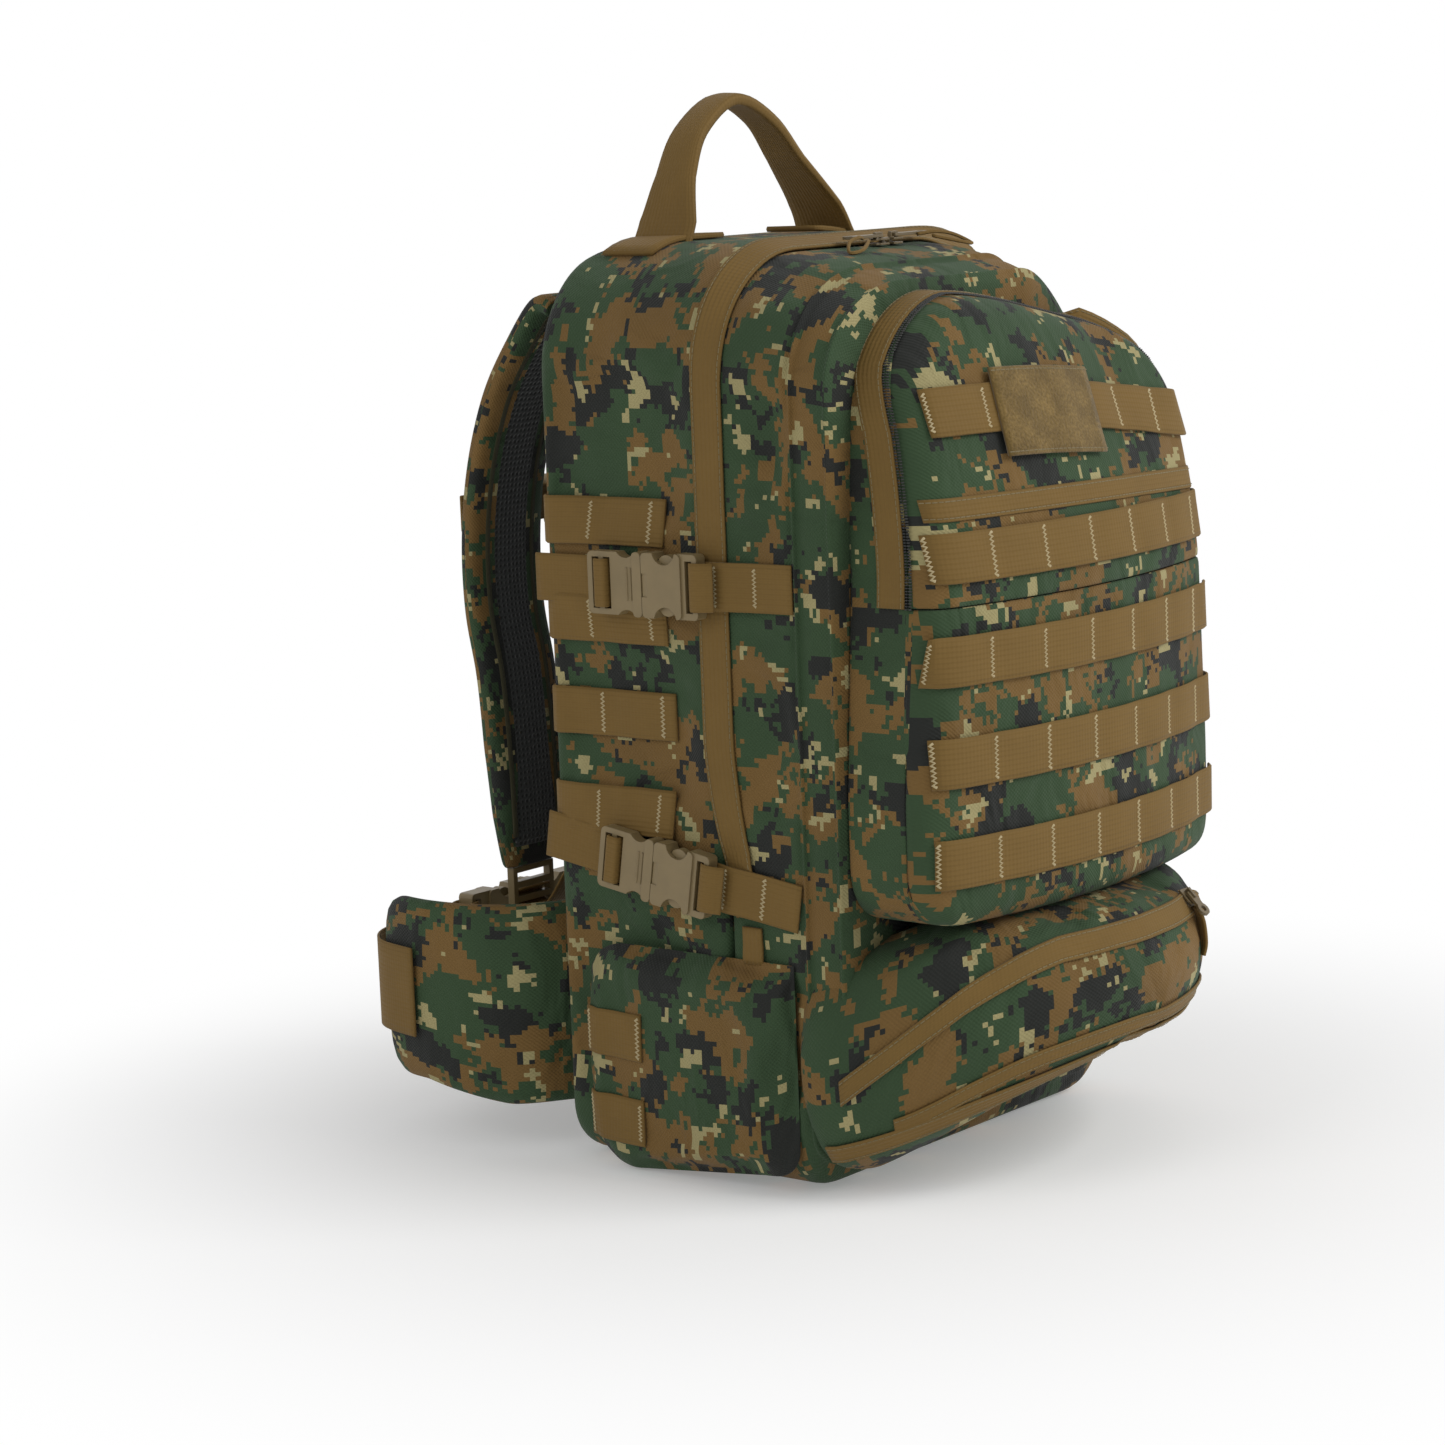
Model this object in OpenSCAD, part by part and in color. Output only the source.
// Three-day camouflage backpack: sewn bag, padded harness, ladder webbing and
// side-release buckles. Millimetres, +Z up, front towards -Y, wearer towards +Y.
// The origin is under the middle of the bag, on the surface it stands on.

/* [Bag] */
// Width of the main compartment
bag_w = 276; // [250:1:310]
// Height of the main compartment
bag_h = 488; // [460:1:520]
// Y of the rear face of the main compartment
rear_y = 120; // [112:1:128]
// Depth of the main compartment
main_depth = 118; // [105:1:125]
// Depth of the second compartment
mid_depth = 76; // [66:1:82]
// How far the second compartment's top lies below the main one's
mid_drop = 5; // [4:1:12]
// Radius of the main compartment's top corners
top_r = 55; // [40:1:65]
// Radius of the bag's bottom corners
low_r = 28; // [16:1:34]
// Radius of the main compartment's upper rear edge
rear_r = 24; // [14:1:30]
// Clearance between sewn pieces
seam_gap = 0.3; // [0.2:0.05:0.5]

/* [Front pocket] */
// How far the front pocket's sides lie inside the bag's
front_inset = 4; // [1:0.5:10]
// Depth of the front pocket at its side edges
front_depth = 51; // [44:1:56]
// How far the middle of the front bulges past the side edges
front_bulge = 22; // [14:1:28]
// Height of the front pocket's bottom edge
front_low = 145; // [140:1:150]
// Height of the front pocket's top edge
front_top = 460; // [452:1:466]
// Radius of the front pocket's top corners
front_r = 66; // [50:1:72]
// Radius of the front pocket's vertical front corners
front_edge_r = 20; // [12:1:26]
// Radius of the rolled edge along the front's top
front_roll_r = 40; // [24:1:44]
// Thickness of the pocket's padded fabric walls
wall = 4; // [3:0.5:6]
// Height of the fold line where the flap is sewn to the lower wall
fold_z = 308; // [300:1:314]
// Depth of the flap's turned rim, from its zip to the front's side edge
rim_depth = 15; // [10:1:18]
// Gap along the open zip between the flap and the gusset
flap_gap = 0.6; // [0.4:0.1:1.2]
// Degrees that the flap leans back from its fold line
flap_lean = 4.5; // [0:0.5:6]

/* [Ladder webbing] */
// Width of the ladder webbing
web_w = 25.4; // [24:0.2:27]
// Thickness of all sewn webbing
web_t = 1.5; // [1:0.1:2]
// Height from one row's top to the next
row_pitch = 50.8; // [48:0.2:52]
// Top of the uppermost front row
row_top = 416; // [412:1:420]
// Height of the narrow tape across the flap
tape_w = 12; // [9:1:15]
// Top of that narrow tape
tape_top = 362; // [359:1:364]
// Length of the side rows
side_row_l = 86; // [70:1:90]
// Top of the uppermost side row
side_row_top = 359; // [355:1:362]
// Number of side rows
side_rows = 4; // [3:1:4]
// Width of the hook-and-loop panel
loop_w = 80; // [60:1:90]
// Height of that panel
loop_h = 46; // [40:1:50]
// X of the panel's middle
loop_x = -32; // [-60:1:60]

/* [Storm flaps] */
// Width of the main zip's storm flap
main_tape_w = 19; // [16:1:22]
// Width of the front zip's storm flap
front_tape_w = 17; // [14:1:19]
// Width of the lower zip's storm flap
low_tape_w = 14; // [12:1:16]
// Thickness of a storm flap
tape_t = 1.6; // [1.2:0.1:2]
// Height of the main storm flap's lower ends
main_tape_low = 160; // [150:1:170]

/* [Lower pocket and wings] */
// How far the lower pocket stands out past the bag's sides
pocket_over = 9; // [6:1:12]
// Reach of the lower pocket in front of the second compartment
pocket_reach = 94; // [80:1:100]
// Height of the pocket's bottom under its front
pocket_front_z = 46; // [30:1:52]
// Thickness of a lower wing at its middle
wing_bulge = 17; // [12:1:20]
// Height of the lower wings
wing_h = 122; // [114:1:126]
// Y where the lower wings begin at the rear
wing_rear_y = 97; // [90:1:100]
// Y of the seam between wing and pocket
wing_front_y = -41; // [-46:1:-36]

/* [Back and belt] */
// Thickness of the padded spacer back
back_t = 12; // [8:1:14]
// How far the padded spacer back's sides lie inside the bag's
back_inset = 26; // [18:1:38]
// Height of the belt padding
belt_h = 106; // [90:1:108]
// Height of the belt's middle
belt_z = 85; // [78:1:90]
// Thickness of the belt wings
belt_t = 14; // [10:1:15]
// Width of the belt webbing
belt_web = 50; // [48:1:52]

/* [Harness] */
// Width of a shoulder strap
strap_w = 60; // [54:1:64]
// Thickness of a shoulder strap
strap_t = 12; // [9:1:13]
// X of a shoulder strap's middle
strap_x = 86; // [82:1:92]
// Width of the grab handle's webbing
handle_w = 28; // [24:1:32]
// Thickness of the folded handle webbing
handle_t = 4; // [3:0.5:5]
// Height of the handle's arch above the bag
handle_rise = 72; // [60:1:80]
// Half the distance between the handle's feet
handle_half = 66; // [58:1:70]

/* [Buckles] */
// Width of the compression webbing
comp_web = 25.4; // [24:0.2:26]
// Width of the sternum webbing
chest_web = 20; // [19:0.5:21]
// Running clearance inside a buckle
buckle_gap = 0.4; // [0.3:0.05:0.5]
// Height of the upper compression straps
upper_strap_z = 316; // [312:1:319]
// Height of the lower compression straps at their rear end
lower_strap_z = 178; // [172:1:184]
// Slope of the lower compression straps
lower_slope = 9; // [6:1:11]
// Y of the buckles' sewn ends
buckle_y = 4; // [0:1:8]

/* [Hidden] */
big = 700;
camo = "#4a4d33";
camo_dark = "#33382a";
tan = "#7d683f";
moulded = "#74654a";
black = "#26261f";

half_w = bag_w / 2;
main_y = rear_y - main_depth;
mid_rear_y = main_y - seam_gap;
mid_y = mid_rear_y - mid_depth;
mid_half = half_w - 1;
front_rear_y = mid_y - seam_gap;
front_y = front_rear_y - front_depth;
front_half = half_w - front_inset;
front_radius = (front_half * front_half + front_bulge * front_bulge) / (2 * front_bulge);
front_face_y = front_y - front_bulge;
zip_y = front_y + rim_depth;
pocket_back_z = front_low - seam_gap;
pocket_half = half_w + pocket_over;
back_half = half_w - back_inset;
side_face = half_w + web_t + seam_gap;
belt_y = rear_y + seam_gap + belt_t / 2;
handle_y = rear_y - rear_r - handle_w / 2;
hinge_z = bag_h - 33;
hinge_y = rear_y + strap_t / 2 + seam_gap;

// ---- plain helpers -------------------------------------------------------

// Catmull-Rom curve through a short list of hand-set points
function curve_point(p0, p1, p2, p3, t) =
    0.5 * (2 * p1 + (p2 - p0) * t + (2 * p0 - 5 * p1 + 4 * p2 - p3) * t * t
    + (3 * p1 - p0 - 3 * p2 + p3) * t * t * t);
function smooth(path, steps) = [
    for (i = [0 : len(path) - 2])
        for (k = [0 : steps - 1])
            curve_point(path[max(i - 1, 0)], path[i], path[i + 1],
                path[min(i + 2, len(path) - 1)], k / steps),
    path[len(path) - 1]
];
function side_of(path, i) =
    let (a = path[max(i - 1, 0)], b = path[min(i + 1, len(path) - 1)], d = b - a)
    [-d[1], d[0]] / norm(d);
function band(path, thick) = concat(
    [for (i = [0 : len(path) - 1]) path[i] + side_of(path, i) * thick / 2],
    [for (i = [len(path) - 1 : -1 : 0]) path[i] - side_of(path, i) * thick / 2]
);

// A strip of webbing or padding: its middle line in the plane, its width across
module ribbon(path, thick, width, steps = 3) {
    linear_extrude(width, center = true) polygon(band(smooth(path, steps), thick));
}

// Lay a drawing of (x, z) along Y from y_low to y_high
module along_y(y_low, y_high) {
    translate([0, y_high, 0]) rotate([90, 0, 0]) linear_extrude(y_high - y_low) children();
}

// Lay a drawing of (y, z) across X from x_low to x_high
module along_x(x_low, x_high) {
    translate([x_low, 0, 0]) rotate([90, 0, 90]) linear_extrude(x_high - x_low) children();
}

// Upright outline of a bag: rounded top and bottom corners
module bag_outline(half, low, high, r_low, r_high) {
    translate([-half, low + r_low]) square([2 * half, high - low - r_low - r_high]);
    translate([-half + r_high, high - 2 * r_high]) square([2 * (half - r_high), 2 * r_high]);
    translate([-half + r_low, low]) square([2 * (half - r_low), 2 * r_low]);
    for (s = [-1, 1]) {
        translate([s * (half - r_high), high - r_high]) circle(r_high, $fn = 36);
        translate([s * (half - r_low), low + r_low]) circle(r_low, $fn = 36);
    }
}

module mirrored_x(side) {
    if (side < 0) children();
    if (side > 0) mirror([1, 0, 0]) children();
}

// ---- sewn bag ------------------------------------------------------------

module main_outline(grow) {
    bag_outline(half_w + grow, -grow, bag_h + grow, low_r + grow, top_r + grow);
}

module main_bag() {
    color(camo) difference() {
        main_form();
        sheet_form(seam_gap);
    }
}

module main_form() {
    intersection() {
        along_y(main_y, rear_y) main_outline(0);
        along_x(-big, big) {
            translate([main_y, 0]) square([main_depth, bag_h - rear_r]);
            translate([main_y, 0]) square([main_depth - rear_r, bag_h]);
            translate([rear_y - rear_r, bag_h - rear_r]) circle(rear_r, $fn = 32);
        }
    }
}

module mid_bag() {
    top = bag_h - mid_drop;
    color(camo) intersection() {
        along_y(mid_y, mid_rear_y) bag_outline(mid_half, 0, top, low_r, top_r);
        along_x(-big, big) polygon([
            [mid_y, 0], [mid_rear_y, 0], [mid_rear_y, top],
            [mid_rear_y - mid_depth / 3, top - 3], [mid_y, front_top + 4]
        ]);
    }
}

// Points of an arc, and the rounded outlines made of them
function arc(x, y, r, from, to, steps) = [
    for (k = [0 : steps]) let (a = from + (to - from) * k / steps) [x + r * cos(a), y + r * sin(a)]
];

// Plan of the front pocket: arched front, rounded vertical edges; it runs on rearwards,
// so that it still reaches the second compartment where it leans
plan_rear_y = front_rear_y + 40;
function front_plan(grow) =
    let (
        half = front_half + grow, r = front_radius + grow, edge = front_edge_r + grow,
        mid_a = asin((front_half - front_edge_r) / front_radius), c = front_face_y + front_radius,
        ex = front_half - front_edge_r, ey = c - front_radius * cos(mid_a) + front_edge_r
    ) concat(
        arc(-ex, ey, edge, 180, 270 - mid_a, 5), arc(0, c, r, 270 - mid_a, 270 + mid_a, 12),
        arc(ex, ey, edge, 270 + mid_a, 360, 5), [[half, plan_rear_y], [-half, plan_rear_y]]
    );

// Face-on outline: the sides draw in a little towards the top corners
front_taper = 14;
front_upright_z = front_low + 64;
function front_outline(grow) =
    let (
        half = front_half + grow, top = front_top + grow, low = front_low - grow,
        r = front_r + grow, x = front_half - front_taper - front_r, z = front_top - front_r
    ) concat(
        arc(half - low_r, low + low_r, low_r, -90, 0, 4), [[half, front_upright_z]],
        arc(x, z, r, 0, 90, 9), arc(-x, z, r, 90, 180, 9), [[-half, front_upright_z]],
        arc(-half + low_r, low + low_r, low_r, 180, 270, 4)
    );

// What shows of the front's curved face: upright up to the fold line, leaning back above it
module leaning(lean) {
    translate([0, front_face_y, fold_z]) rotate([-lean, 0, 0])
        translate([0, -front_face_y, -fold_z]) children();
}

// The front pocket's closed form; inset moves every face but the rear one inwards
module front_form(inset, lean = 0) {
    top = front_top - inset;
    low = front_low + inset;
    y_front = front_face_y + inset - 1;
    roll = front_roll_r;
    intersection() {
        leaning(lean) linear_extrude(big) polygon(front_plan(-inset));
        along_y(-big, front_rear_y) polygon(front_outline(-inset));
        along_x(-big, big) polygon(concat(
            [[front_rear_y + 1, low - 1], [front_rear_y + 1, top + 1]],
            arc(y_front + roll, top - roll, roll, 90, 180, 6), [[y_front, low - 1]]
        ));
    }
}

module flap_zone(grow) {
    translate([-big, -big, fold_z - grow]) cube([2 * big, big + zip_y + grow, big]);
}

module front_bag() {
    color(camo) difference() {
        front_form(0);
        intersection() {
            front_form(wall);
            translate([-big, -big, 0]) cube([2 * big, big + front_rear_y - wall, big]);
        }
        flap_zone(flap_gap);
    }
}

module front_flap() {
    color(camo) intersection() {
        difference() {
            front_form(0, flap_lean);
            front_form(wall, flap_lean);
        }
        flap_zone(0);
    }
}

// Plan of the lower pocket: half an ellipse round the front of the bag
module pocket_plan(grow) {
    y = wing_front_y - 1;
    linear_extrude(big) polygon([
        for (a = [180 : 6 : 360])
            [(pocket_half + grow) * cos(a), y + (pocket_reach + y - mid_y + grow) * sin(a)]
    ]);
}

// The pocket's top slopes down at 45 degrees from under the front pocket to its zip
pocket_front_y = mid_y - pocket_reach;
slope_top_y = front_face_y + 8;
slope_low_y = pocket_front_y + 6;
slope_low_z = pocket_back_z - (slope_top_y - slope_low_y);

module lower_pocket() {
    inner = mid_half + seam_gap;
    front = pocket_front_y;
    under = 10;
    color(camo) difference() {
        intersection() {
            pocket_plan(0);
            along_x(-big, big) polygon([
                [wing_front_y - 1, 6], [wing_front_y - 1, 118], [mid_y, pocket_back_z],
                [slope_top_y, pocket_back_z], [slope_low_y, slope_low_z],
                [front - 2, slope_low_z - 14], [front - 2, pocket_front_z + 22],
                [front + 7, pocket_front_z + 8], [front + 24, pocket_front_z], [mid_y - 24, under + 8],
                [mid_y - 6, under]
            ]);
        }
        translate([-inner, mid_y - seam_gap, -1]) cube([2 * inner, big, big]);
    }
}

wing_low_z = 9;
wing_front_r = 16;
wing_low_r = 30;
wing_high_r = 24;
module lower_wing(side) {
    run = wing_rear_y - wing_front_y;
    r = (run * run / 4 + wing_bulge * wing_bulge) / (2 * wing_bulge);
    flat = half_w + seam_gap;
    color(camo) mirrored_x(side) intersection() {
        translate([-flat - wing_bulge + r, (wing_rear_y + wing_front_y) / 2, 0])
            cylinder(wing_h, r = r, $fn = 96);
        translate([-big - flat, -big, 0]) cube([big, 2 * big, big]);
        along_x(-big, 0) polygon(concat(
            [[wing_front_y, wing_h]],
            arc(wing_front_y + wing_front_r, wing_low_z + wing_front_r, wing_front_r, 180, 270, 8),
            arc(wing_rear_y - wing_low_r, wing_low_r, wing_low_r, 270, 360, 8),
            arc(wing_rear_y - wing_high_r, wing_h - wing_high_r, wing_high_r, 0, 90, 8)
        ));
    }
}
module lower_wing_left() { lower_wing(-1); }
module lower_wing_right() { lower_wing(1); }

// ---- back ---------------------------------------------------------------

module back_panel() {
    low = 180;
    high = 442;
    channel = 30;
    color(camo_dark) along_y(rear_y + seam_gap, rear_y + seam_gap + back_t) difference() {
        bag_outline(back_half, low, high, 24, 30);
        translate([-channel / 2, low + 40]) square([channel, high - low - 80]);
        for (z = [low + 40, high - 40]) translate([0, z]) circle(channel / 2, $fn = 24);
    }
}

// The stiff sheet lies in a sleeve just inside the rear face
sheet_t = 2;
sheet_inside = 6;
sheet_low = 40;
sheet_high = bag_h - 58;
sheet_r = 20;
module sheet_form(grow) {
    along_y(rear_y - sheet_inside - sheet_t - grow, rear_y - sheet_inside + grow)
        bag_outline(back_half - 10 + grow, sheet_low - grow, sheet_high + grow, sheet_r, sheet_r);
}

module frame_sheet() {
    color(black) sheet_form(0);
}

lumbar_half = half_w - 46;
module lumbar_pad() {
    color(camo_dark) along_y(rear_y + seam_gap, rear_y + seam_gap + belt_t)
        bag_outline(lumbar_half, belt_z - belt_h / 2, belt_z + belt_h / 2, 14, 14);
}

// ---- webbing and trim ----------------------------------------------------

// A strip round the outside of the front pocket, between two heights
module front_strip(z_low, z_high, reach, thick, lean = 0) {
    intersection() {
        leaning(lean) difference() {
            front_shell(thick + seam_gap);
            front_shell(seam_gap);
        }
        translate([-reach, -big, z_low]) cube([2 * reach, big + front_y + 4, z_high - z_low]);
    }
}

module front_shell(grow) {
    linear_extrude(big) polygon(front_plan(grow));
}

third_top = row_top - 71;
row_short = 10;
top_row_short = 26;
module front_webbing() {
    color(tan) for (i = [1 : 3])
        front_strip(third_top - i * row_pitch - web_w, third_top - i * row_pitch,
            front_half - 4, web_t);
}

module flap_webbing() {
    color(tan) {
        front_strip(row_top - web_w, row_top, front_half - top_row_short, web_t, flap_lean);
        front_strip(third_top - web_w, third_top, front_half - row_short, web_t, flap_lean);
        front_strip(tape_top - tape_w, tape_top, front_half - row_short, web_t / 2, flap_lean);
    }
}

module loop_panel() {
    color(tan) intersection() {
        leaning(flap_lean) difference() {
            front_shell(2 * web_t + 2 * seam_gap);
            front_shell(web_t + 2 * seam_gap);
        }
        translate([loop_x - loop_w / 2, -big, row_top + 8 - loop_h]) cube([loop_w, big, loop_h]);
    }
}

module side_webbing() {
    color(tan) for (s = [-1, 1], i = [0 : side_rows - 1])
        translate([s * (half_w + seam_gap + web_t / 2), rear_y - side_row_l,
            side_row_top - web_w - i * row_pitch])
            translate([-web_t / 2, 0, 0]) cube([web_t, side_row_l, web_w]);
}

module wing_webbing() {
    run = wing_rear_y - wing_front_y;
    r = (run * run / 4 + wing_bulge * wing_bulge) / (2 * wing_bulge);
    flat = half_w + seam_gap;
    color(tan) for (s = [-1, 1], z = [16, 62]) mirrored_x(s) intersection() {
        translate([-flat - wing_bulge + r, (wing_rear_y + wing_front_y) / 2, z]) difference() {
            cylinder(web_w, r = r + web_t + seam_gap, $fn = 128);
            translate([0, 0, -1]) cylinder(web_w + 2, r = r + seam_gap, $fn = 128);
        }
        translate([-big - flat, wing_rear_y - 44, 0]) cube([big, 42, big]);
    }
}

module main_zip_flap() {
    color(tan) along_y(main_y - main_tape_w / 2 + 1, main_y + main_tape_w / 2 + 1) difference() {
        intersection() {
            main_outline(tape_t + seam_gap);
            translate([-big, main_tape_low]) square([2 * big, big]);
        }
        main_outline(seam_gap);
    }
}

module front_zip_flap() {
    color(tan) intersection() {
        difference() {
            front_ring(tape_t + seam_gap);
            front_ring(seam_gap);
        }
        translate([-big, zip_y + flap_gap + 0.3, fold_z]) cube([2 * big, front_tape_w, big]);
    }
}

module front_ring(grow) {
    along_y(front_y, front_rear_y) polygon(front_outline(grow));
}

module lower_zip_flap() {
    front = pocket_front_y;
    low = slope_low_z - low_tape_w - 2;
    color(tan) intersection() {
        difference() {
            pocket_plan(tape_t + seam_gap);
            pocket_plan(seam_gap);
        }
        along_x(-big, big) polygon([
            [mid_y - 4, 50], [front + 20, low], [front - 5, low], [front - 5, low + low_tape_w],
            [front + 16, low + low_tape_w], [mid_y - 4, 50 + low_tape_w + 6]
        ]);
    }
}

// ---- zip sliders ---------------------------------------------------------

// A slider: a waisted lower and upper plate joined at the nose, a bridge, and its pull along +x
slider_l = 10;
slider_w = 8;
plate_t = 1.1;
coil_gap = 1.4;
pull_w = 5.2;
pull_t = 1.6;
module slider_plate(z) {
    difference() {
        translate([0, -slider_w / 2, z]) cube([slider_l, slider_w, plate_t]);
        for (s = [-1, 1])
            translate([slider_l, s * (slider_w / 2 + 1.6), z - 1]) cylinder(plate_t + 2, r = 3, $fn = 12);
    }
}

module slider(pull) {
    bridge_z = 2 * plate_t + coil_gap;
    pull_z = bridge_z + 0.5;
    end_r = 4;
    slider_plate(0);
    slider_plate(plate_t + coil_gap);
    translate([0, -1, 0]) cube([2.4, 2, bridge_z]);
    // bridge with the pull's bail under it
    difference() {
        translate([1.6, -0.9, bridge_z - 0.1]) cube([6.4, 1.8, 3.2]);
        translate([3, -1.5, bridge_z - 0.2]) cube([3.6, 3, 2.4]);
    }
    difference() {
        union() {
            translate([3.4, -pull_w / 2, pull_z]) cube([pull, pull_w, pull_t]);
            translate([3.4 + pull, 0, pull_z]) cylinder(pull_t, r = end_r, $fn = 12);
        }
        translate([3.4 + pull, 0, pull_z - 1]) cylinder(pull_t + 2, r = 1.8, $fn = 12);
    }
}

module main_slider(side) {
    color(moulded) translate([side * 2, main_y - 14, bag_h - mid_drop - 0.9])
        mirrored_x(-side) slider(26);
}
module main_slider_left() { main_slider(-1); }
module main_slider_right() { main_slider(1); }

// The front zip's slider is parked at the right-hand end of its zip. It stands as high as
// the storm flap beside it, clear of the front flap as that folds down.
side_lean = atan(front_taper / (front_top - front_r - front_upright_z));
module front_slider() {
    z = fold_z + 6;
    x = front_half - (z - front_upright_z) * tan(side_lean) + tape_t + 2 * seam_gap;
    color(moulded) translate([x, zip_y, z]) rotate([0, -side_lean, 0])
        rotate([90, 0, 90]) rotate([0, 0, 90]) slider(22);
}

// The lower zip's slider sits on the pocket's sloping top, its pull over the tape
slider_x = 58;
module lower_slider() {
    down = 10;
    color(moulded)
        translate([slider_x, slope_top_y - down, pocket_back_z - down]) rotate([45, 0, 0])
            translate([0, 0, seam_gap]) rotate([0, 0, -90]) slider(12);
}

// ---- side-release buckle -------------------------------------------------
// Drawn along +x from the sewn end, width along y, thickness along z.

bar_l = 3.2;
function socket_l(web) = 20 + web * 0.62;
function plug_l(web) = 16 + web * 0.82;
function buckle_w(web) = web + 8.4;
function buckle_t(web) = 6.4 + web * 0.13;
function bore_t(web) = buckle_t(web) * 0.54;
function bore_w(web) = buckle_w(web) - 7.2;
function slot_l(web) = 4.4;

// The notch in each side edge, where the arms are squeezed
notch_r = 7.5;
notch_out = 1.5;
function notch_x(web) = socket_l(web) * 0.58;

// A flat plate from x0 to x1 with rounded corners
module rounded_plate(x0, x1, w, t, r) {
    translate([x0, -w / 2 + r, -t / 2]) cube([x1 - x0, w - 2 * r, t]);
    translate([x0 + r, -w / 2, -t / 2]) cube([x1 - x0 - 2 * r, w, t]);
    for (x = [x0 + r, x1 - r], s = [-1, 1])
        translate([x, s * (w / 2 - r), 0]) cylinder(t, r = r, center = true, $fn = 12);
}

module buckle_socket(web) {
    l = socket_l(web);
    w = buckle_w(web);
    t = buckle_t(web);
    mouth = l * 0.62;
    shell_x = l * 0.28;
    hollow_r = 10;
    hollow_deep = 0.8;
    difference() {
        union() {
            // barred end
            rounded_plate(0, shell_x + 4, w, t - 2.4, 2.4);
            // hollow shell that takes the arms
            rounded_plate(shell_x, l, w, t, 2.4);
        }
        // webbing slot
        translate([bar_l, -web / 2 - 0.7, -t]) cube([slot_l(web), web + 1.4, 2 * t]);
        // bore for prong and arms
        translate([l - mouth, -bore_w(web) / 2, -bore_t(web) / 2])
            cube([mouth + 1, bore_w(web), bore_t(web)]);
        // notches that bare the arms
        for (s = [-1, 1])
            translate([notch_x(web), s * (w / 2 + notch_out), 0])
                cylinder(2 * t, r = notch_r, center = true, $fn = 24);
        // thumb hollow in each broad face
        for (s = [-1, 1])
            translate([l, 0, s * (t / 2 + hollow_r - hollow_deep)]) rotate([90, 0, 0])
                cylinder(w * 0.36, r = hollow_r, center = true, $fn = 20);
    }
}

module buckle_plug(web) {
    s0 = socket_l(web) + buckle_gap;
    l = plug_l(web);
    w = buckle_w(web);
    t = buckle_t(web) - 1.6;
    slot = slot_l(web);
    prong = socket_l(web) * 0.5;
    collar = 3;
    rib_r = 0.7;
    difference() {
        union() {
            // collar against the socket's mouth, then the ladder plate
            rounded_plate(s0, s0 + 2 * collar, w, t + 1.2, 2.4);
            rounded_plate(s0 + collar - 1, s0 + l, w - 1, t - 1.4, 3);
            // grip ribs
            for (k = [0, 1], s = [-1, 1])
                translate([s0 + 2 * collar + 1.8 + k * 2.6, 0, s * (t / 2 - rib_r)]) rotate([90, 0, 0])
                    cylinder(w * 0.5, r = rib_r, center = true, $fn = 8);
        }
        // the two ladder slots, with a bar between them
        for (k = [0, 1])
            translate([s0 + l - bar_l - slot - k * (bar_l + slot), -web / 2 - 0.7, -t])
                cube([slot, web + 1.4, 2 * t]);
        // hourglass waist
        for (s = [-1, 1])
            translate([s0 + l * 0.3, s * (w / 2 + l * 0.11), 0])
                cylinder(2 * t, r = l * 0.2, center = true, $fn = 24);
    }
    // guide prong, tapered at its tip
    linear_extrude(bore_t(web) - 2 * buckle_gap, center = true) polygon([
        [s0 + 1, -3.4], [s0 + 1, 3.4], [s0 - prong + 3, 2.6], [s0 - prong, 1.2],
        [s0 - prong, -1.2], [s0 - prong + 3, -2.6]
    ]);
}

// Each arm runs along the bore's wall and swells into the notch as a round pad
module buckle_arms(web) {
    in = bore_w(web) / 2;
    root = socket_l(web) + buckle_gap - 0.05;
    mid = notch_x(web);
    pad_r = 6;
    pad_y = buckle_w(web) / 2 + notch_out - notch_r - 1;
    neck = sqrt(pad_r * pad_r - pow(in - buckle_gap - pad_y, 2));
    out_a = asin((in - buckle_gap - pad_y) / pad_r);
    for (s = [-1, 1]) scale([1, s, 1])
        linear_extrude(bore_t(web) - 2 * buckle_gap, center = true) polygon(concat(
            [[root, in - 4.4], [root, in - buckle_gap], [mid + neck, in - buckle_gap]],
            arc(mid, pad_y, pad_r, out_a, 180 - out_a, 10),
            [[mid - neck - 1, in - 2], [mid - neck - 1, in - 3.6], [mid + neck, in - 4.2]]
        ));
}

// Compression strap frames: strap along +y, width along z, standing off the side
strap_out = side_face + seam_gap + buckle_t(comp_web) / 2 + 1.2;

function strap_z(upper) = upper ? upper_strap_z : lower_strap_z;
function strap_turn(upper) = upper ? 0 : lower_slope;

module on_side(side, upper) {
    mirrored_x(side) translate([-strap_out, rear_y, strap_z(upper)])
        rotate([strap_turn(upper), 0, 0]) translate([0, buckle_y - rear_y, 0])
            rotate([90, 0, 90]) children();
}

module comp_socket(side, upper) {
    color(moulded) on_side(side, upper) buckle_socket(comp_web);
}
module comp_plug(side, upper) {
    color(moulded) on_side(side, upper) buckle_plug(comp_web);
}
module comp_arms(side, upper) {
    color(moulded) on_side(side, upper) buckle_arms(comp_web);
}

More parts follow.
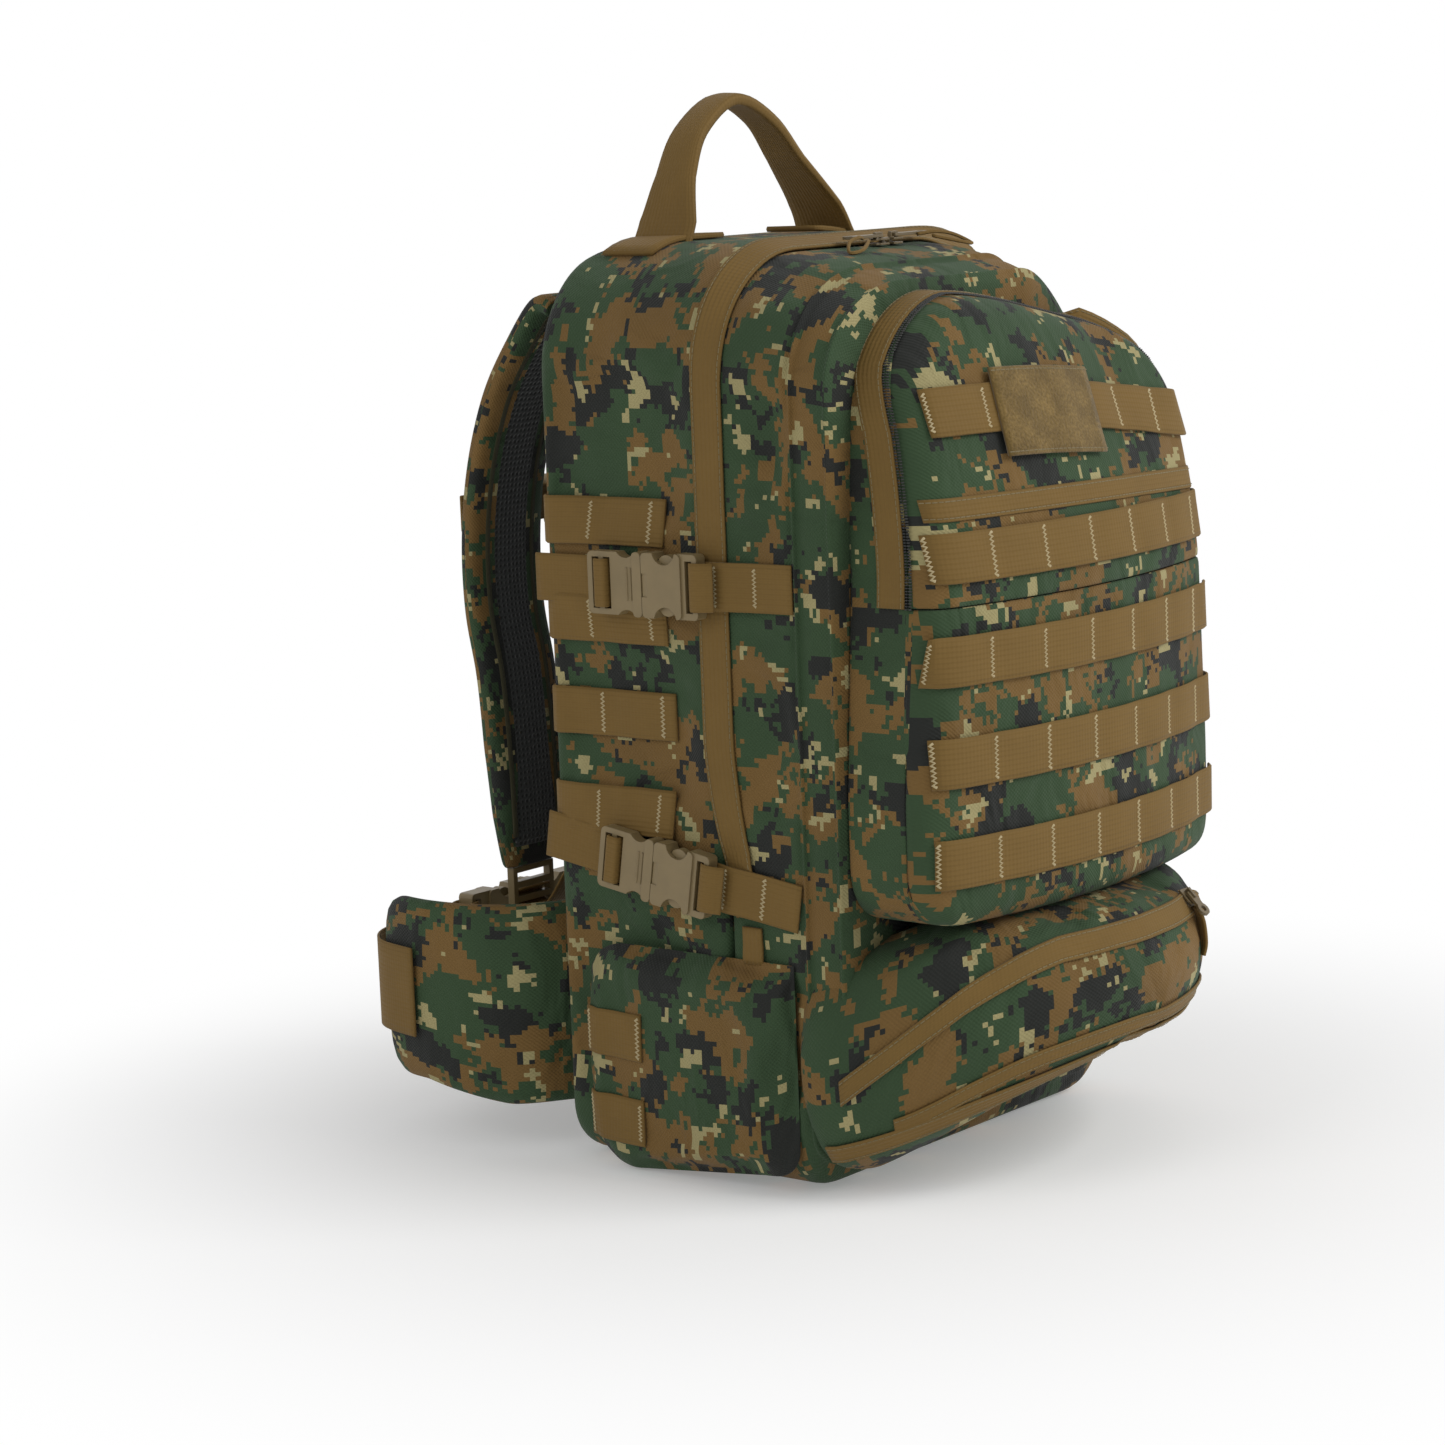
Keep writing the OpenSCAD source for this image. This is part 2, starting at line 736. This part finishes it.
// Rear webbing: from the back seam, through the ladder slots, tail folded under
module comp_webbing(side, upper) {
    s0 = socket_l(comp_web) + buckle_gap;
    e = s0 + plug_l(comp_web);
    slot = slot_l(comp_web);
    t = (buckle_t(comp_web) - 1.6) / 2 + web_t / 2 + 0.25;
    a = e - bar_l - slot / 2;
    b = a - bar_l - slot;
    end = rear_y - buckle_y;
    color(tan) on_side(side, upper) rotate([90, 0, 0]) mirror([0, 1, 0])
        ribbon([
            [end, -strap_out + side_face + 1], [e + 8, -t - 0.3], [e - 1, -t], [a + 1, -t + 0.4],
            [a, 0], [a - 0.6, t - 0.2], [(a + b) / 2, t + 0.25], [b + 0.6, t - 0.2], [b, 0],
            [b - 0.4, -t]
        ], web_t - 0.3, comp_web, 2);
}

// Sewn front webbing: once round the socket's bar and down to the seam
module comp_anchor(side, upper) {
    t = buckle_t(comp_web) / 2 - 1.2;
    sewn = -strap_out + mid_half + seam_gap + web_t / 2;
    color(tan) on_side(side, upper) rotate([90, 0, 0]) mirror([0, 1, 0])
        ribbon([
            [-52, sewn], [-26, sewn + 1.2], [-8, -t - 0.6],
            [2, -t - web_t / 2 - 0.3], [5, -t + 0.6], [5.4, 0], [5, t - 0.6],
            [2, t + web_t / 2 + 0.3], [-3, t - 0.2], [-8, 0.4]
        ], web_t - 0.3, comp_web, 2);
}

module strap_anchors() {
    for (side = [-1, 1], upper = [true, false]) comp_anchor(side, upper);
}

module upper_left_webbing() { comp_webbing(-1, true); }
module upper_right_webbing() { comp_webbing(1, true); }
module lower_left_webbing() { comp_webbing(-1, false); }
module lower_right_webbing() { comp_webbing(1, false); }
module upper_left_socket() { comp_socket(-1, true); }
module upper_right_socket() { comp_socket(1, true); }
module lower_left_socket() { comp_socket(-1, false); }
module lower_right_socket() { comp_socket(1, false); }
module upper_left_plug() { comp_plug(-1, true); }
module upper_right_plug() { comp_plug(1, true); }
module lower_left_plug() { comp_plug(-1, false); }
module lower_right_plug() { comp_plug(1, false); }
module upper_left_arms() { comp_arms(-1, true); }
module upper_right_arms() { comp_arms(1, true); }
module lower_left_arms() { comp_arms(-1, false); }
module lower_right_arms() { comp_arms(1, false); }

// ---- handle and harness --------------------------------------------------

// The arch turns about its feet; its legs narrow there so that it can lie over
handle_z = bag_h + 2 * seam_gap + handle_t + 6;
module grab_handle() {
    low = 6;
    narrow = 5.5;
    color(tan) translate([0, handle_y, handle_z]) intersection() {
        rotate([90, 0, 0]) ribbon([
            [-handle_half, -low], [-handle_half + 2, 4],
            [-handle_half * 0.8, handle_rise * 0.46], [-handle_half * 0.46, handle_rise * 0.82],
            [0, handle_rise - handle_t - low], [handle_half * 0.46, handle_rise * 0.82],
            [handle_half * 0.8, handle_rise * 0.46], [handle_half - 2, 4], [handle_half, -low]
        ], handle_t, handle_w, 3);
        along_x(-big, big) {
            circle(narrow, $fn = 24);
            polygon([
                [-narrow, 0], [narrow, 0], [handle_w / 2, 13], [handle_w / 2, big],
                [-handle_w / 2, big], [-handle_w / 2, 13]
            ]);
        }
    }
}

// The webbing's turned ends, sewn flat on the bag's top
module handle_feet() {
    color(tan) for (s = [-1, 1])
        translate([s * (handle_half + 6) - 19, handle_y - handle_w / 2, bag_h + seam_gap])
            cube([38, handle_w, handle_t]);
}

strap_foot = [hinge_y + 57, 146];
function strap_line() = [
    [hinge_y, hinge_z], [hinge_y + 10, hinge_z + 2], [hinge_y + 26, hinge_z - 16],
    [hinge_y + 46, hinge_z - 46], [hinge_y + 60, hinge_z - 84], [hinge_y + 67, hinge_z - 125],
    [hinge_y + 67, hinge_z - 165], [hinge_y + 61, hinge_z - 200], [hinge_y + 58, hinge_z - 240],
    [strap_foot[0] - 0.4, strap_foot[1] + 30], strap_foot
];

module shoulder_strap(side) {
    color(camo_dark) translate([side * strap_x, 0, 0]) rotate([90, 0, 90]) {
        ribbon(strap_line(), strap_t, strap_w, 2);
        translate([hinge_y, hinge_z]) cylinder(strap_w, r = strap_t / 2, center = true, $fn = 24);
    }
}
module shoulder_strap_left() { shoulder_strap(-1); }
module shoulder_strap_right() { shoulder_strap(1); }

// Ladder lock: a frame with three bars, hung under the strap's foot
lock_l = 30;
module ladder_lock(side) {
    w = comp_web + 8;
    t = 4.6;
    color(moulded) translate([side * strap_x, strap_foot[0], strap_foot[1] - seam_gap])
        rotate([90, 90, 0]) difference() {
            union() {
                translate([0, -w / 2, -t / 2]) cube([lock_l - 3, w, t]);
                translate([lock_l - 4, -w / 2 + 3, -t / 2]) cube([4, w - 6, t]);
                for (s = [-1, 1])
                    translate([lock_l - 3, s * (w / 2 - 3), 0])
                        cylinder(t, r = 3, center = true, $fn = 12);
            }
            for (x = [bar_l, bar_l + 8.4, bar_l + 16.8])
                translate([x, -comp_web / 2 - 0.7, -t]) cube([5, comp_web + 1.4, 2 * t]);
        }
}
module ladder_lock_left() { ladder_lock(-1); }
module ladder_lock_right() { ladder_lock(1); }

// Lower strap webbing: from the lock back up to the seam above the lumbar pad
module strap_tail(side) {
    y = strap_foot[0];
    z = strap_foot[1] - seam_gap;
    t = 2.3 + web_t / 2 + 0.3;
    mid = z - bar_l - 8.4 - 6.7;
    color(tan) translate([side * strap_x, 0, 0]) rotate([90, 0, 90]) ribbon([
        [rear_y + seam_gap + web_t, 158], [rear_y + 22, 152], [y - 22, z - 18], [y - t - 1, z - 24],
        [y - 1.6, mid - 5.2], [y + t - 0.6, mid - 2.6], [y + t + 0.1, mid + 1], [y + t - 0.8, mid + 4],
        [y, z - bar_l - 10.9], [y - t, z - bar_l - 9]
    ], web_t - 0.3, comp_web, 2);
}
module strap_tail_left() { strap_tail(-1); }
module strap_tail_right() { strap_tail(1); }

chest_z = hinge_z - 112;
chest_y = hinge_y + 67 + strap_t / 2 + seam_gap + web_t + buckle_t(chest_web) / 2;
chest_l = socket_l(chest_web) + plug_l(chest_web);
// Length sewn flat on the strap, and how far the webbing's turned end runs back
sewn_l = 30;
turned_l = 10;

module on_chest() {
    translate([-chest_l / 2, chest_y, chest_z]) rotate([90, 0, 0]) children();
}
module chest_socket() { color(moulded) on_chest() buckle_socket(chest_web); }
module chest_plug() { color(moulded) on_chest() buckle_plug(chest_web); }
module chest_arms() { color(moulded) on_chest() buckle_arms(chest_web); }

module chest_webbing_left() {
    t = buckle_t(chest_web) / 2 - 1.2;
    face = -buckle_t(chest_web) / 2 - web_t / 2;
    reach = strap_x - chest_l / 2 + strap_w / 2 - 6;
    color(tan) on_chest() rotate([90, 0, 0]) mirror([0, 1, 0]) ribbon([
        [-reach, face], [-reach + sewn_l, face], [-turned_l - 4, face * 0.8], [2, -t - web_t / 2 - 0.3],
        [5, -t + 0.6], [5.4, 0], [5, t - 0.6], [2, t + web_t / 2 + 0.3], [-4, t - 0.4], [-turned_l, 0.4]
    ], web_t - 0.3, chest_web, 2);
}

module chest_webbing_right() {
    e = chest_l + buckle_gap;
    slot = slot_l(chest_web);
    t = (buckle_t(chest_web) - 1.6) / 2 + web_t / 2 + 0.25;
    a = e - bar_l - slot / 2;
    b = a - bar_l - slot;
    face = -buckle_t(chest_web) / 2 - web_t / 2;
    reach = strap_x + chest_l / 2 + strap_w / 2 - 6;
    color(tan) on_chest() rotate([90, 0, 0]) mirror([0, 1, 0]) ribbon([
        [reach, face], [reach - sewn_l, face], [e + 8, -t - 0.4], [e - 1, -t], [a + 1, -t + 0.4], [a, 0],
        [a - 0.6, t - 0.2], [(a + b) / 2, t + 0.25], [b + 0.6, t - 0.2], [b, 0], [b - 0.4, -t]
    ], web_t - 0.3, chest_web, 2);
}

// ---- hip belt ------------------------------------------------------------

belt_half = half_w + 19;
function belt_line() = [
    [-lumbar_half - seam_gap, belt_y + 1], [-lumbar_half - 20, belt_y + 1.4],
    [-belt_half + 33, belt_y + 6], [-belt_half + 13, belt_y + 22], [-belt_half + 2, belt_y + 48],
    [-belt_half, belt_y + 76], [-belt_half + 7, belt_y + 102], [-belt_half + 23, belt_y + 118]
];
belt_tip_r = 30;
module belt_wing(side) {
    low = belt_z - belt_h / 2;
    high = belt_z + belt_h / 2;
    tip_y = belt_y + 121;
    color(camo) mirrored_x(side) intersection() {
        translate([0, 0, belt_z]) ribbon(belt_line(), belt_t, belt_h, 3);
        along_x(-big, 0) polygon(concat(
            [[0, high], [0, low]],
            arc(tip_y - belt_tip_r, low + belt_tip_r, belt_tip_r, 270, 360, 10),
            arc(tip_y - belt_tip_r, high - belt_tip_r, belt_tip_r, 0, 90, 10)
        ));
    }
}
module belt_wing_left() { belt_wing(-1); }
module belt_wing_right() { belt_wing(1); }

belt_reach = 136;
belt_front_y = belt_y + belt_reach;
belt_l = socket_l(belt_web) + plug_l(belt_web);
module on_belt() {
    translate([-belt_l / 2, belt_front_y, belt_z]) rotate([90, 0, 0]) children();
}
module belt_socket() { color(moulded) on_belt() buckle_socket(belt_web); }
module belt_plug() { color(moulded) on_belt() buckle_plug(belt_web); }
module belt_arms() { color(moulded) on_belt() buckle_arms(belt_web); }

// Belt webbing: sewn along the wing's outside, then on to the buckle
belt_sewn_from = 12;
function belt_web_line() =
    let (line = smooth(belt_line(), 3), out = belt_t / 2 + web_t / 2 + seam_gap)
    concat(
        [for (i = [belt_sewn_from : len(line) - 1]) line[i] + side_of(line, i) * out],
        [
            [-belt_half + 37, belt_front_y - 5], [-belt_half + 59, belt_front_y - 3.5],
            [-belt_half + 81, belt_front_y - 4.5]
        ]
    );
module belt_webbing_left() {
    t = buckle_t(belt_web) / 2 - 1.2 + web_t / 2 + 0.3;
    x = -belt_l / 2;
    y = belt_front_y;
    color(tan) translate([0, 0, belt_z]) ribbon(concat(belt_web_line(), [
        [x - 6, y - t - 0.6], [x + 2.4, y - t - 0.1], [x + 5, y - t + 1.1], [x + 5.5, y],
        [x + 5, y + t - 1.1], [x + 2.4, y + t + 0.1], [x - 4, y + t - 0.6], [x - 12, y + 0.6]
    ]), web_t, belt_web, 2);
}
module belt_webbing_right() {
    e = belt_l / 2 + buckle_gap;
    slot = slot_l(belt_web);
    t = (buckle_t(belt_web) - 1.6) / 2 + web_t / 2 + 0.3;
    a = e - bar_l - slot / 2;
    b = a - bar_l - slot;
    y = belt_front_y;
    color(tan) mirror([1, 0, 0]) translate([0, 0, belt_z]) ribbon(concat(belt_web_line(), [
        [-e - 6, y - t - 0.4], [-e + 1, y - t], [-a - 1, y - t + 0.4], [-a, y], [-a + 0.6, y + t - 0.2],
        [-(a + b) / 2, y + t + 0.2], [-b - 0.6, y + t - 0.2], [-b, y], [-b + 0.4, y - t]
    ]), web_t - 0.3, belt_web, 2);
}

main_bag();
mid_bag();
front_bag();
front_flap();
back_panel();
frame_sheet();
lumbar_pad();
lower_pocket();
lower_wing_left();
lower_wing_right();
side_webbing();
wing_webbing();
front_webbing();
flap_webbing();
loop_panel();
main_zip_flap();
front_zip_flap();
lower_zip_flap();
main_slider_left();
main_slider_right();
front_slider();
lower_slider();
upper_left_webbing();
upper_right_webbing();
lower_left_webbing();
lower_right_webbing();
strap_anchors();
upper_left_socket();
upper_right_socket();
lower_left_socket();
lower_right_socket();
upper_left_plug();
upper_right_plug();
lower_left_plug();
lower_right_plug();
upper_left_arms();
upper_right_arms();
lower_left_arms();
lower_right_arms();
grab_handle();
handle_feet();
shoulder_strap_left();
shoulder_strap_right();
ladder_lock_left();
ladder_lock_right();
strap_tail_left();
strap_tail_right();
chest_webbing_left();
chest_webbing_right();
chest_socket();
chest_plug();
chest_arms();
belt_wing_left();
belt_wing_right();
belt_webbing_left();
belt_webbing_right();
belt_socket();
belt_plug();
belt_arms();
